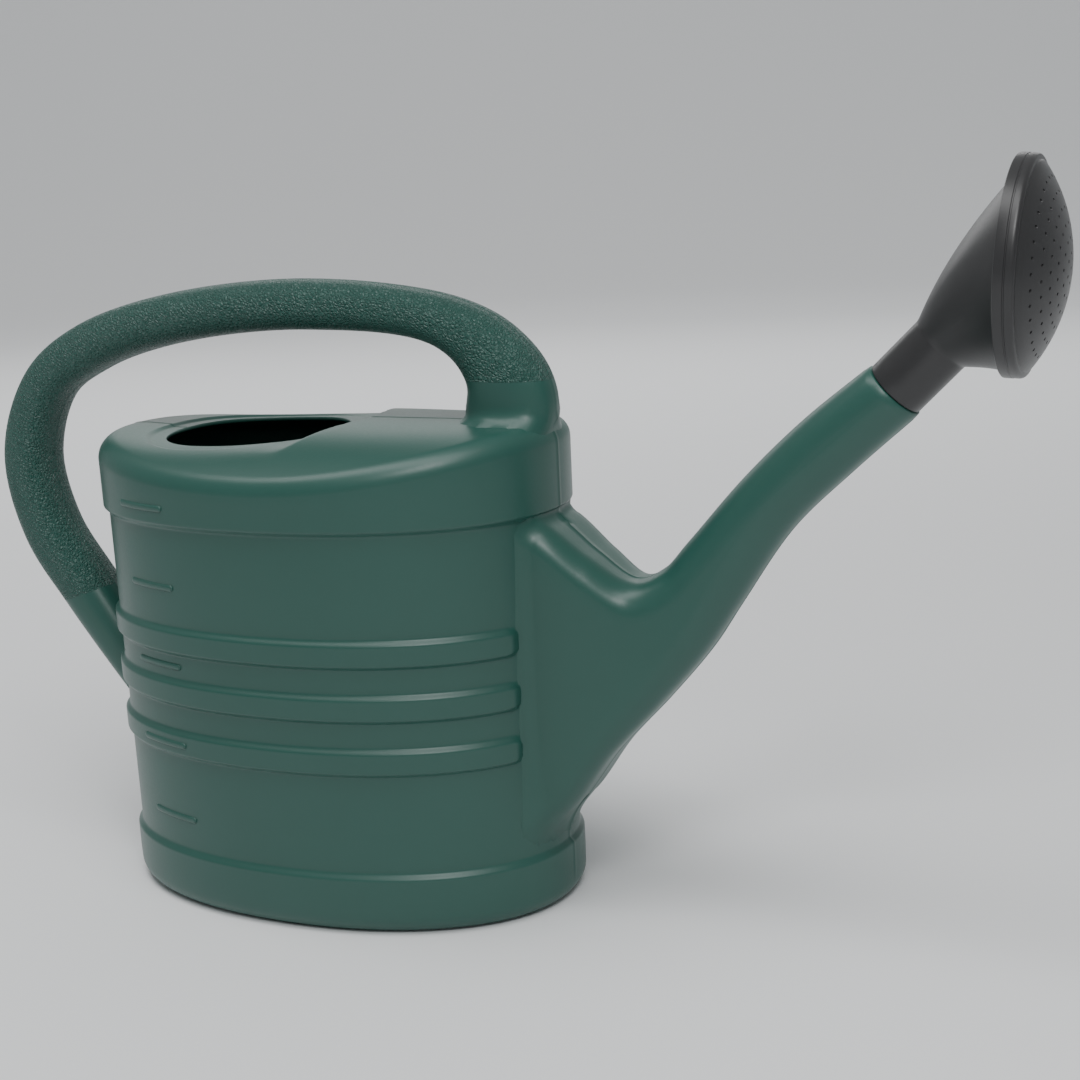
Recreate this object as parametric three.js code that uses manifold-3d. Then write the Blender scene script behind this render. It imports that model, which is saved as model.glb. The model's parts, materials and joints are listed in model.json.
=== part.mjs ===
// A ten-litre watering can. One hollow moulding makes the tank, the loop handle and the spout, and a rose
// of two pieces pushes onto the spout's tip. The moulding is held as three solids that meet at narrow gaps.
// Millimetres, +Z up, +X towards the rose, Y = 0 the plane of symmetry, origin under the tank on the floor.
import * as THREE from 'three';
import { mergeVertices } from 'three/addons/utils/BufferGeometryUtils.js';
import Module from 'manifold-3d';

const wasm = await Module();
wasm.setup();

// Driving dimensions
const gap = 0.3; // left between pieces that touch
const wall = 2.2; // moulded wall of tank, handle and spout

const tank = {
  halfLength: 136.3,
  backLean: 2.5, // the back leans out by this much at the deck
  halfWidthAtFloor: 88.5,
  halfWidthAtDeck: 95.5,
  squareness: 2.15, // exponent of the plan's superellipse
  deckHeight: 265.5, // deck on the centre line at X = 0
  deckSlope: -0.016, // the deck climbs a little towards the back
  stepHeight: 6, // the raised forward part of the deck
  stepStart: 8,
  stepRun: 18,
  shoulderDrop: 24.5, // the wall starts to turn over into the deck this far below it
  endShoulder: { inset: 0.075, exponent: 2 }, // inset of the turned-over edge, as a share of the plan
  sideShoulder: { inset: 0.34, exponent: 1.6 },
  footRadius: 11,
  sides: 48,
};
const band = { height: 35.7, lowerEdgeBelowShoulder: 19, proud: 2.6, upperProud: 3, slope: 2.4 };
const rib = { count: 3, lowest: 89.7, width: 17.3, pitch: 29.9, proud: 2.6, slope: 2.4, clearOfSpout: 7 };
const levelMark = { count: 5, lowest: 53.5, pitch: 45, start: -92, length: 37, height: 4.6, proud: 1.2 };
const mouth = { centre: -46, halfLength: 51, halfWidth: 54, dish: 3.6, rim: 15, sides: 40 };

const handle = {
  halfWidth: 17,
  squareness: 2.5,
  gripRise: 69, // centre of the grip above the deck
  gripHalf: 15, // half of its height there
  bendReach: 75, // centre of the rear bend behind the tank's back
  bendHalf: 17,
  legInset: 22.5, // centre of the front leg inside the tank's front
  legHalf: 26.4,
  rootDrop: 142, // centre of the rear root below the deck, where it leaves the tank's back
  sides: 20,
  rowsPerSpan: 3,
};

const spout = {
  rootHalfWidth: 32.5,
  tipRadius: 16.8,
  tipReach: 186, // centre of the tip's end beyond the tank's front
  tipRise: 25, // and above the deck
  tipAngle: Math.PI / 4, // the tip points half up
  rootTopBelowShoulder: 22.5,
  rootBottom: 55,
  sides: 22,
  rowsPerSpan: 2,
};
const rose = {
  socketRadius: 14,
  throatRadius: 11.5, // where the socket ends and the cone begins
  fit: 0.4, // clearance of the spigot in the socket, on the radius
  spigotLength: 24,
  neckRadius: 16,
  neckLength: 32.7,
  wall: 2,
  reach: 62.3, // centre of the rim beyond the socket's mouth
  rise: 59.6, // and above it
  nod: Math.PI / 60, // the face looks this much below level
  lipRadius: 50.7,
  lipLength: 2.5,
  sides: 36,
};
const face = {
  skirtLength: 5.5, // the cap's skirt behind the cone's end
  skirtWall: 2.1,
  edgeRadius: 2.6,
  edgeSlope: Math.PI / 4, // where the rounded edge has its one corner
  domeHeight: 17, // the dome's crown ahead of its edge
  wall: 1.8,
  sides: 36,
};
const hole = { radius: 0.8, rings: 6, perRing: 6, pitch: 7.03, sides: 6 };

const green = { color: 0x2f5f52, roughness: 0.5, metalness: 0 };
const black = { color: 0x232325, roughness: 0.45, metalness: 0 };

// A signed power, which turns a circle's cosine and sine into a superellipse's
function squared(value, exponent) {
  return Math.sign(value) * Math.abs(value) ** (2 / exponent);
}

function mix(from, to, share) {
  return from + (to - from) * share;
}

function smoothStep(value) {
  const share = Math.min(Math.max(value, 0), 1);
  return share * share * (3 - 2 * share);
}

// A closed skin over rings of points. The first and the last row are poles, and `place(row, angle)` gives
// the points in between, with the angle running from the ring's first direction towards its second.
function loft(rows, sides, place) {
  const rail = Array.from({ length: rows }, (_, row) => new THREE.Vector2(row % (rows - 1) ? 1 : 0, row));
  const skin = new THREE.LatheGeometry(rail, sides);
  for (let side = 0; side <= sides; side++) {
    const angle = (2 * Math.PI * (side % sides)) / sides;
    for (let row = 0; row < rows; row++) {
      skin.attributes.position.setXYZ(side * rows + row, ...place(row, angle));
    }
  }
  return skin;
}

function toSolid(geometry) {
  geometry.deleteAttribute('normal');
  geometry.deleteAttribute('uv');
  const merged = mergeVertices(geometry, 1e-4);
  const corners = merged.index.array;
  const triVerts = [];
  for (let first = 0; first < corners.length; first += 3) {
    const [a, b, c] = corners.slice(first, first + 3);
    if (a !== b && b !== c && c !== a) triVerts.push(a, b, c); // a pole's collapsed triangles are left out
  }
  return new wasm.Manifold(new wasm.Mesh({
    numProp: 3,
    vertProperties: Float32Array.from(merged.attributes.position.array),
    triVerts: Uint32Array.from(triVerts),
  }));
}

function toMesh(name, solid, finish) {
  const result = solid.getMesh();
  const geometry = new THREE.BufferGeometry();
  geometry.setAttribute('position', new THREE.BufferAttribute(new Float32Array(result.vertProperties), 3));
  geometry.setIndex(new THREE.BufferAttribute(new Uint32Array(result.triVerts), 1));
  geometry.computeVertexNormals();
  const mesh = new THREE.Mesh(geometry, new THREE.MeshStandardMaterial(finish));
  mesh.name = name;
  return mesh;
}

// --- Tank ---

const shoulderHeight = tank.deckHeight - tank.shoulderDrop;

function halfWidthAt(height) {
  return mix(tank.halfWidthAtFloor, tank.halfWidthAtDeck, height / tank.deckHeight);
}

function halfLengthAt(height, isBack) {
  return tank.halfLength + (isBack ? tank.backLean * (height / tank.deckHeight) : 0);
}

// The deck is dished round the mouth and steps up ahead of it
function deckHeightAt(x, y) {
  const slope = tank.deckSlope * Math.min(x, tank.stepStart);
  const step = tank.stepHeight * smoothStep((x - tank.stepStart) / tank.stepRun);
  const aroundMouth = Math.hypot((x - mouth.centre) / mouth.halfLength, y / mouth.halfWidth) - 1;
  const dish = mouth.dish * smoothStep(1 - (aroundMouth * mouth.halfWidth) / mouth.rim);
  return tank.deckHeight + slope + step - dish;
}

// Rows of the outer wall: a height, and how far the wall stands proud of the plain wall there
function wallRows() {
  const bandEdge = shoulderHeight - band.lowerEdgeBelowShoulder;
  const rows = [
    { height: band.height - band.slope, proud: band.proud },
    { height: band.height, proud: 0 },
  ];
  for (let index = 0; index < rib.count; index++) {
    const low = rib.lowest + index * rib.pitch;
    const high = low + rib.width;
    rows.push({ height: low, proud: 0 });
    rows.push({ height: low + rib.slope, proud: rib.proud, isRib: true });
    rows.push({ height: high - rib.slope, proud: rib.proud, isRib: true });
    rows.push({ height: high, proud: 0 });
  }
  rows.push({ height: bandEdge, proud: 0 });
  rows.push({ height: bandEdge + band.slope, proud: band.upperProud });
  return rows;
}

// The tank's closed shape, grown by `grow` all round. The cavity has no bands or ribs, so the wall is
// thickest behind them.
function tankSkin(grow, rows) {
  const footProud = rows.length ? band.proud : 0;
  const shoulderProud = rows.length ? band.upperProud : 0;
  const footSteps = 4;
  const shoulderSteps = 6;
  const deckSteps = 6;
  const quarter = Math.PI / 2;
  const foot = Array.from({ length: footSteps }, (_, index) => ({ turn: (index / footSteps) * quarter }));
  const shoulder = Array.from({ length: shoulderSteps }, (_, index) => ({
    over: (index / (shoulderSteps - 1)) * quarter,
  }));
  const deck = Array.from({ length: deckSteps - 1 }, (_, index) => ({ inward: 1 - (index + 1) / deckSteps }));
  const top = { pole: deckHeightAt(0, 0) + grow };
  const stations = [{ pole: -grow }, ...foot, ...rows, ...shoulder, ...deck, top];

  return loft(stations.length, tank.sides, (row, angle) => {
    const station = stations[row];
    if ('pole' in station) return [0, 0, station.pole];
    const across = squared(Math.cos(angle), tank.squareness);
    const along = squared(Math.sin(angle), tank.squareness);
    const at = (share, out, height) => [
      (halfLengthAt(height, across < 0) * share + out) * across,
      (halfWidthAt(height) * share + out) * along,
      height,
    ];
    if ('turn' in station) {
      const inset = tank.footRadius * (1 - Math.sin(station.turn));
      const height = tank.footRadius * (1 - Math.cos(station.turn));
      return at(1, footProud + grow - inset, height - grow * Math.cos(station.turn));
    }
    if ('height' in station) {
      const clear = tank.halfLength * across < tank.halfLength - rib.clearOfSpout;
      return at(1, (station.isRib && !clear ? 0 : station.proud) + grow, station.height);
    }
    const sideways = along * along;
    const inset = mix(tank.endShoulder.inset, tank.sideShoulder.inset, sideways);
    const exponent = mix(tank.endShoulder.exponent, tank.sideShoulder.exponent, sideways);
    const turn = station.over ?? quarter;
    const share = (1 - inset + inset * squared(Math.cos(turn), exponent)) * (station.inward ?? 1);
    const edge = (shoulderProud + grow) * share;
    const [x, y] = at(share, edge, shoulderHeight);
    const deckTop = deckHeightAt(x, y) + grow;
    return [x, y, mix(shoulderHeight, deckTop, squared(Math.sin(turn), exponent))];
  });
}

// Raised ridges on the near side, one for each step of the filling scale
function makeLevelMarks() {
  const end = levelMark.height / 2;
  const outline = new THREE.Shape();
  outline.absarc(levelMark.start + levelMark.length - end, 0, end, -Math.PI / 2, Math.PI / 2);
  outline.absarc(levelMark.start + end, 0, end, Math.PI / 2, Math.PI * 1.5);
  let marks = null;
  for (let index = 0; index < levelMark.count; index++) {
    const bar = new THREE.ExtrudeGeometry(outline, {
      depth: tank.halfWidthAtDeck,
      bevelEnabled: false,
      curveSegments: 4,
    });
    bar.rotateX(Math.PI / 2);
    bar.translate(0, -tank.halfWidthAtFloor / 2, levelMark.lowest + index * levelMark.pitch);
    marks = marks ? marks.add(toSolid(bar)) : toSolid(bar);
  }
  return toSolid(tankSkin(levelMark.proud, wallRows())).intersect(marks);
}

function makeMouthCutter() {
  const cutter = new THREE.CylinderGeometry(1, 1, tank.deckHeight, mouth.sides);
  cutter.rotateX(Math.PI / 2);
  cutter.scale(mouth.halfLength, mouth.halfWidth, 1);
  cutter.translate(mouth.centre, 0, shoulderHeight - wall + tank.deckHeight / 2);
  return toSolid(cutter);
}

// --- Handle ---

// The spine in the plane of symmetry. Each point's second number is half the handle's thickness there.
function handleSpine() {
  const front = tank.halfLength - handle.legInset;
  const back = -tank.halfLength;
  const deck = tank.deckHeight;
  const grip = deck + handle.gripRise;
  return new THREE.CatmullRomCurve3([
    new THREE.Vector3(front - 10, handle.legHalf - 2, deck - 28),
    new THREE.Vector3(front, handle.legHalf, deck + 18),
    new THREE.Vector3(front - 10.5, handle.legHalf - 6, deck + 41.5),
    new THREE.Vector3(front - 38, handle.gripHalf, grip - 9.5),
    new THREE.Vector3(mouth.centre + 39, handle.gripHalf, grip),
    new THREE.Vector3(mouth.centre - 54, handle.gripHalf + 0.3, grip - 8),
    new THREE.Vector3(back - 24, handle.gripHalf + 1, grip - 25),
    new THREE.Vector3(back - handle.bendReach + 18, handle.bendHalf - 1.5, grip - 47),
    new THREE.Vector3(back - handle.bendReach, handle.bendHalf, deck - 21),
    new THREE.Vector3(back - handle.bendReach + 9, handle.bendHalf + 0.6, deck - 66),
    new THREE.Vector3(back - handle.bendReach / 2 - 4, handle.bendHalf + 0.4, deck - handle.rootDrop + 39),
    new THREE.Vector3(back - 14, handle.bendHalf - 0.5, deck - handle.rootDrop + 2),
    new THREE.Vector3(back + 14, handle.bendHalf - 0.5, deck - handle.rootDrop - 32),
  ]);
}

function handleSkin(inset, sides) {
  const spine = handleSpine();
  const rows = (spine.points.length - 1) * handle.rowsPerSpan + 3;
  return loft(rows, sides, (row, angle) => {
    const share = Math.min(Math.max(row - 1, 0), rows - 3) / (rows - 3);
    const centre = spine.getPoint(share);
    const ahead = spine.getTangent(share);
    const length = Math.hypot(ahead.x, ahead.z);
    if (row === 0 || row === rows - 1) return [centre.x, 0, centre.z];
    const out = (centre.y - inset) * squared(Math.cos(angle), handle.squareness);
    const aside = (handle.halfWidth - inset) * squared(Math.sin(angle), handle.squareness);
    return [centre.x - (out * ahead.z) / length, -aside, centre.z + (out * ahead.x) / length];
  });
}

// --- Spout ---

// Upper and lower rails in the plane of symmetry, as triples with X measured from the tank's front. The
// upper rail's second number is half the width. The lower rail's is the section's squareness: flat sides
// at the root, round at the tip.
function spoutRails() {
  const front = tank.halfLength;
  const root = spout.rootHalfWidth;
  const rootTop = shoulderHeight - spout.rootTopBelowShoulder;
  const tip = spoutTip();
  const rise = (share) => mix(spout.rootBottom, tip.z, share);
  const half = new THREE.Vector3(-Math.sin(spout.tipAngle), 0, Math.cos(spout.tipAngle));
  half.multiplyScalar(spout.tipRadius);
  const upper = [
    [-18, root, rootTop + 9],
    [3, root, rootTop],
    [25, root - 3, rise(0.6199)],
    [47, root - 7.5, rise(0.5624)],
    [63, root - 10.5, rise(0.59)],
    [77, root - 12.5, rise(0.656)],
    [107, spout.tipRadius + 1.9, rise(0.8003)],
    [139, spout.tipRadius + 0.7, rise(0.931)],
  ];
  const lower = [
    [-18, 3.6, spout.rootBottom - 15],
    [7, 3.6, spout.rootBottom],
    [34, 3.5, spout.rootBottom + 37],
    [64, 3.2, rise(0.2794)],
    [87.5, 2.8, rise(0.4091)],
    [105, 2.4, rise(0.5195)],
    [133.5, 2.1, rise(0.6954)],
    [165, 2, rise(0.8256)],
  ];
  return {
    upper: new THREE.CatmullRomCurve3([
      ...upper.map(([x, y, z]) => new THREE.Vector3(front + x, y, z)),
      new THREE.Vector3(tip.x + half.x, spout.tipRadius, tip.z + half.z),
    ]),
    lower: new THREE.CatmullRomCurve3([
      ...lower.map(([x, y, z]) => new THREE.Vector3(front + x, y, z)),
      new THREE.Vector3(tip.x - half.x, 2, tip.z - half.z),
    ]),
  };
}

function spoutTip() {
  return new THREE.Vector3(tank.halfLength + spout.tipReach, 0, tank.deckHeight + spout.tipRise);
}

function spoutSkin(inset) {
  const { upper, lower } = spoutRails();
  const rows = (upper.points.length - 1) * spout.rowsPerSpan + 3;
  const reach = 1 - inset / upper.getLength();
  return loft(rows, spout.sides, (row, angle) => {
    const share = (reach * Math.min(Math.max(row - 1, 0), rows - 3)) / (rows - 3);
    const above = upper.getPoint(share);
    const below = lower.getPoint(share);
    const half = Math.hypot(above.x - below.x, above.z - below.z) / 2;
    const centre = [(above.x + below.x) / 2, 0, (above.z + below.z) / 2];
    if (row === 0 || row === rows - 1) return centre;
    const up = ((half - inset) / half) * squared(Math.cos(angle), below.y);
    const aside = (above.y - inset) * squared(Math.sin(angle), below.y);
    return [mix(centre[0], above.x, up), -aside, mix(centre[2], above.z, up)];
  });
}

// A cylinder that starts at the spout's tip and runs along the tip's direction
function alongTip(radius, start, length) {
  const rod = new THREE.CylinderGeometry(radius, radius, length, rose.sides);
  rod.translate(0, start + length / 2, 0);
  rod.rotateX(Math.PI / 2);
  rod.rotateY(Math.PI / 2 - spout.tipAngle);
  const tip = spoutTip();
  rod.translate(tip.x, tip.y, tip.z);
  return toSolid(rod);
}

// --- Rose ---

// Rings of the funnel, from the socket's mouth to the rim: where each centre lies, its radius and how far
// it has turned from the neck's direction to straight ahead
function funnelSkin(rings) {
  const last = rings.length + 1;
  return loft(rings.length + 2, rose.sides, (row, angle) => {
    const ring = rings[Math.min(Math.max(row - 1, 0), rings.length - 1)];
    const radius = row === 0 || row === last ? 0 : ring.radius;
    const out = radius * Math.cos(angle);
    return [
      ring.x - out * Math.sin(ring.lean),
      -radius * Math.sin(angle),
      ring.z + out * Math.cos(ring.lean),
    ];
  });
}

function makeRoseFunnel() {
  const lean = spout.tipAngle;
  const onNeck = (distance, radius) => ({
    x: distance * Math.cos(lean),
    z: distance * Math.sin(lean),
    radius,
    lean,
  });
  const ahead = (distance, radius) => ({
    x: rose.reach + distance * Math.cos(rose.nod),
    z: rose.rise - distance * Math.sin(rose.nod),
    radius,
    lean: -rose.nod,
  });
  const outer = funnelSkin([
    onNeck(gap, rose.neckRadius),
    onNeck(rose.neckLength, rose.neckRadius),
    ahead(0, rose.lipRadius),
    ahead(rose.lipLength, rose.lipRadius),
  ]);
  const inner = funnelSkin([
    onNeck(-wall, rose.socketRadius),
    onNeck(rose.spigotLength + rose.wall, rose.socketRadius),
    onNeck(rose.neckLength - gap, rose.throatRadius),
    ahead(0, rose.lipRadius - rose.wall),
    ahead(rose.lipLength + wall, rose.lipRadius - rose.wall),
  ]);
  return toSolid(outer).subtract(toSolid(inner));
}

function makeRoseFace() {
  const skirtInside = rose.lipRadius + gap;
  const skirtOutside = skirtInside + face.skirtWall;
  const seat = rose.lipLength + gap;
  const domeEdge = skirtOutside - face.edgeRadius;
  const edgeStart = seat + face.wall - face.edgeRadius;
  const edgeEnd = edgeStart + face.edgeRadius;
  const domeRadius = (domeEdge ** 2 + face.domeHeight ** 2) / (2 * face.domeHeight);
  const domeCentre = edgeEnd + face.domeHeight - domeRadius;
  const dome = (radius, thinner) => {
    const sphere = domeRadius - thinner;
    return new THREE.Vector2(radius, domeCentre + Math.sqrt(sphere ** 2 - radius ** 2));
  };
  const insideEdge = rose.lipRadius - rose.wall;
  const steps = 5;
  const inside = Array.from({ length: steps }, (_, index) => dome((insideEdge * index) / steps, face.wall));
  const outside = Array.from({ length: steps + 1 }, (_, index) => dome(domeEdge * (1 - index / steps), 0));
  const cap = new THREE.LatheGeometry([
    ...inside,
    new THREE.Vector2(insideEdge, seat),
    new THREE.Vector2(skirtInside, seat),
    new THREE.Vector2(skirtInside, -face.skirtLength),
    new THREE.Vector2(skirtOutside, -face.skirtLength),
    new THREE.Vector2(skirtOutside, edgeStart),
    new THREE.Vector2(
      skirtOutside - face.edgeRadius * (1 - Math.cos(face.edgeSlope)),
      edgeStart + face.edgeRadius * Math.sin(face.edgeSlope),
    ),
    ...outside,
  ], face.sides);
  cap.rotateZ(-Math.PI / 2);
  let solid = toSolid(cap);
  const length = 2 * face.domeHeight + face.wall;
  for (let ring = 0; ring <= hole.rings; ring++) {
    const count = ring ? ring * hole.perRing : 1;
    for (let index = 0; index < count; index++) {
      const angle = (2 * Math.PI * index) / count;
      const drill = new THREE.CylinderGeometry(hole.radius, hole.radius, length, hole.sides);
      drill.rotateZ(-Math.PI / 2);
      const out = ring * hole.pitch;
      drill.translate(length / 2 + seat, out * Math.sin(angle), out * Math.cos(angle));
      solid = solid.subtract(toSolid(drill));
    }
  }
  return solid;
}

// --- Assembly ---

const outerTank = toSolid(tankSkin(0, wallRows()));
const roomForTank = toSolid(tankSkin(gap, wallRows()));
const cavity = toSolid(tankSkin(-wall, []));
const handleBore = toSolid(handleSkin(wall, handle.sides - 4));
const spoutBore = toSolid(spoutSkin(wall));

const tankSolid = outerTank
  .add(makeLevelMarks())
  .subtract(cavity)
  .subtract(makeMouthCutter())
  .subtract(handleBore)
  .subtract(spoutBore);

const handleSolid = toSolid(handleSkin(0, handle.sides))
  .subtract(handleBore)
  .subtract(roomForTank);

const spigotRadius = rose.socketRadius - rose.fit;
const spoutSolid = toSolid(spoutSkin(0))
  .add(alongTip(spigotRadius, -wall, rose.spigotLength + wall))
  .subtract(spoutBore)
  .subtract(alongTip(spigotRadius - wall, -3 * wall, rose.spigotLength + 4 * wall))
  .subtract(roomForTank);

const wateringCan = new THREE.Group();
wateringCan.add(toMesh('tank', tankSolid, green));
wateringCan.add(toMesh('handle', handleSolid, green));
wateringCan.add(toMesh('spout', spoutSolid, green));

const roseGroup = new THREE.Group();
roseGroup.position.copy(spoutTip());
roseGroup.add(toMesh('rose_funnel', makeRoseFunnel(), black));
const roseFace = toMesh('rose_face', makeRoseFace(), black);
roseFace.position.set(rose.reach, 0, rose.rise);
roseFace.rotation.y = rose.nod;
roseGroup.add(roseFace);
wateringCan.add(roseGroup);

export default wateringCan;
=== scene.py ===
import json
import math

import bmesh
import bpy
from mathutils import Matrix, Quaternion, Vector
from mathutils.bvhtree import BVHTree


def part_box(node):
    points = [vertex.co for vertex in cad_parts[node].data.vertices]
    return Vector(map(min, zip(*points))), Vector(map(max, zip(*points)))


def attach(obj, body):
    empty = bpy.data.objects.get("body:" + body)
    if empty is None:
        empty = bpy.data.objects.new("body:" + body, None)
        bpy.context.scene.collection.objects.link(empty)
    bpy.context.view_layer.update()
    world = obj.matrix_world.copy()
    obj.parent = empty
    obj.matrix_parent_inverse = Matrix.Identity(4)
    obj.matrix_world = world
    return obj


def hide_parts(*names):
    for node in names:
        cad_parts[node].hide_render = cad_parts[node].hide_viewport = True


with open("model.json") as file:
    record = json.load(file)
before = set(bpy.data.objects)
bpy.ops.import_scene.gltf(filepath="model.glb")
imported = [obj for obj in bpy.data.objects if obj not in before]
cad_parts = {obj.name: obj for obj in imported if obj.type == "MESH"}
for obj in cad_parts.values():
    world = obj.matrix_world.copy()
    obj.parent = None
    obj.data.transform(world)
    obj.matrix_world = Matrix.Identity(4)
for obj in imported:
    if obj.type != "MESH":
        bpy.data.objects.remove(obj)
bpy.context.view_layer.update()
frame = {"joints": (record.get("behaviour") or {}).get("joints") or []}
mm = 0.001
weld = 0.004 * mm  # points closer than this are one

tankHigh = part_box("tank")[1]
roseJoint = next(joint for joint in frame["joints"] if joint["name"] == "rose_turn")
rosePivot = Vector(roseJoint["pos_m"])
roseAxis = Vector(roseJoint["axis"]).normalized()


# Shared shaping

def signedPower(value, exponent):
    return math.copysign(abs(value) ** (2 / exponent), value)


def mix(start, end, share):
    return start + (end - start) * share


def ease(value):
    share = min(max(value, 0), 1)
    return share * share * (3 - 2 * share)


# A straight ramp from 0 to 1 with its two ends rounded off
def ramp(value, rounding=0.3):
    share = min(max(value, 0), 1)
    if share > 0.5:
        return 1 - ramp(1 - share, rounding)
    steep = 1 / (1 - rounding)
    return steep * share * share / (2 * rounding) if share < rounding else steep * (share - rounding / 2)


# A smooth rail through points, with knots spaced by the square root of each span
def railPoint(points, share):
    spans = len(points) - 1
    place = min(max(share, 0), 1) * spans
    index = min(int(place), spans - 1)
    along = place - index
    before = points[index - 1] if index else points[0] * 2 - points[1]
    after = points[index + 2] if index + 2 <= spans else points[-1] * 2 - points[-2]
    four = [before, points[index], points[index + 1], after]
    knots = [0]
    for a, b in zip(four, four[1:]):
        knots.append(knots[-1] + math.sqrt(max((b - a).length, 1e-9)))
    t = mix(knots[1], knots[2], along)

    def level(low, high, a, b):
        return a * ((high - t) / (high - low)) + b * ((t - low) / (high - low))

    a = [level(knots[i], knots[i + 1], four[i], four[i + 1]) for i in range(3)]
    b = [level(knots[i], knots[i + 2], a[i], a[i + 1]) for i in range(2)]
    return level(knots[1], knots[2], b[0], b[1])


# Runs a skin over rings of points: a circle takes the first ring's place, and each next one is extruded
def skinRings(bm, rings):
    circle = bmesh.ops.create_circle(bm, segments=len(rings[0]), radius=mm)["verts"]
    edges = list({edge for vert in circle for edge in vert.link_edges})
    for vert, point in zip(circle, rings[0]):
        vert.co = point
    for ring in rings[1:]:
        made = bmesh.ops.extrude_edge_only(bm, edges=edges)["geom"]
        fresh = {item for item in made if isinstance(item, bmesh.types.BMVert)}
        circle = [next(e.other_vert(v) for e in v.link_edges if e.other_vert(v) in fresh) for v in circle]
        edges = [item for item in made if isinstance(item, bmesh.types.BMEdge)
                 and item.verts[0] in fresh and item.verts[1] in fresh]
        for vert, point in zip(circle, ring):
            vert.co = point
    return circle


def finishMesh(name, bm, material, sharpAngle=None):
    bmesh.ops.remove_doubles(bm, verts=bm.verts, dist=weld)
    bmesh.ops.recalc_face_normals(bm, faces=bm.faces)
    mesh = bpy.data.meshes.new(name)
    bm.to_mesh(mesh)
    bm.free()
    mesh.shade_smooth()
    if sharpAngle:
        mesh.set_sharp_from_angle(angle=math.radians(sharpAngle))
    mesh.materials.append(material)
    piece = bpy.data.objects.new(name, mesh)
    bpy.context.collection.objects.link(piece)
    return piece


# Cuts one piece with another and drops the cutter
def cutWith(piece, cutter):
    modifier = piece.modifiers.new("cut", "BOOLEAN")
    modifier.operation = "DIFFERENCE"
    modifier.solver = "EXACT"
    modifier.object = cutter
    graph = bpy.context.evaluated_depsgraph_get()
    cut = bpy.data.meshes.new_from_object(piece.evaluated_get(graph))
    piece.modifiers.clear()
    piece.data = cut
    bpy.data.objects.remove(cutter)


# Materials

def newGroup(name, inputs, outputs):
    group = bpy.data.node_groups.new(name, "ShaderNodeTree")
    for label, kind, value in inputs:
        socket = group.interface.new_socket(name=label, in_out="INPUT", socket_type=kind)
        socket.default_value = value
    for label, kind in outputs:
        group.interface.new_socket(name=label, in_out="OUTPUT", socket_type=kind)
    return group, group.nodes.new("NodeGroupInput"), group.nodes.new("NodeGroupOutput")


def mathNode(tree, operation, *values):
    node = tree.nodes.new("ShaderNodeMath")
    node.operation = operation
    for socket, value in zip(node.inputs, values):
        if isinstance(value, bpy.types.NodeSocket):
            tree.links.new(value, socket)
        else:
            socket.default_value = value
    return node.outputs[0]


# Slow drift of colour and gloss in the moulded plastic, with its faint orange peel
def makeMouldedGroup():
    group, source, sink = newGroup(
        "mouldedSkin",
        [("Position", "NodeSocketVector", (0, 0, 0)), ("Dark", "NodeSocketColor", (0, 0, 0, 1)),
         ("Light", "NodeSocketColor", (1, 1, 1, 1)), ("Roughness", "NodeSocketFloat", 0.4),
         ("Peel Size", "NodeSocketFloat", 700.0), ("Peel Height", "NodeSocketFloat", 0.2)],
        [("Color", "NodeSocketColor"), ("Roughness", "NodeSocketFloat"), ("Height", "NodeSocketFloat")])
    nodes, links = group.nodes, group.links
    drift = nodes.new("ShaderNodeTexNoise")
    drift.inputs["Scale"].default_value = 9
    drift.inputs["Detail"].default_value = 3
    links.new(source.outputs["Position"], drift.inputs["Vector"])
    blend = nodes.new("ShaderNodeMix")
    blend.data_type = "RGBA"
    links.new(drift.outputs["Fac"], blend.inputs["Factor"])
    links.new(source.outputs["Dark"], blend.inputs["A"])
    links.new(source.outputs["Light"], blend.inputs["B"])
    links.new(blend.outputs["Result"], sink.inputs["Color"])
    peel = nodes.new("ShaderNodeTexNoise")
    peel.inputs["Detail"].default_value = 2
    links.new(source.outputs["Position"], peel.inputs["Vector"])
    links.new(source.outputs["Peel Size"], peel.inputs["Scale"])
    gloss = mathNode(group, "MULTIPLY_ADD", drift.outputs["Fac"], 0.1, -0.05)
    speck = mathNode(group, "MULTIPLY_ADD", peel.outputs["Fac"], 0.08, -0.04)
    rough = mathNode(group, "ADD", mathNode(group, "ADD", gloss, speck), source.outputs["Roughness"])
    links.new(rough, sink.inputs["Roughness"])
    links.new(mathNode(group, "MULTIPLY", peel.outputs["Fac"], source.outputs["Peel Height"]),
              sink.inputs["Height"])
    return group


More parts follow.
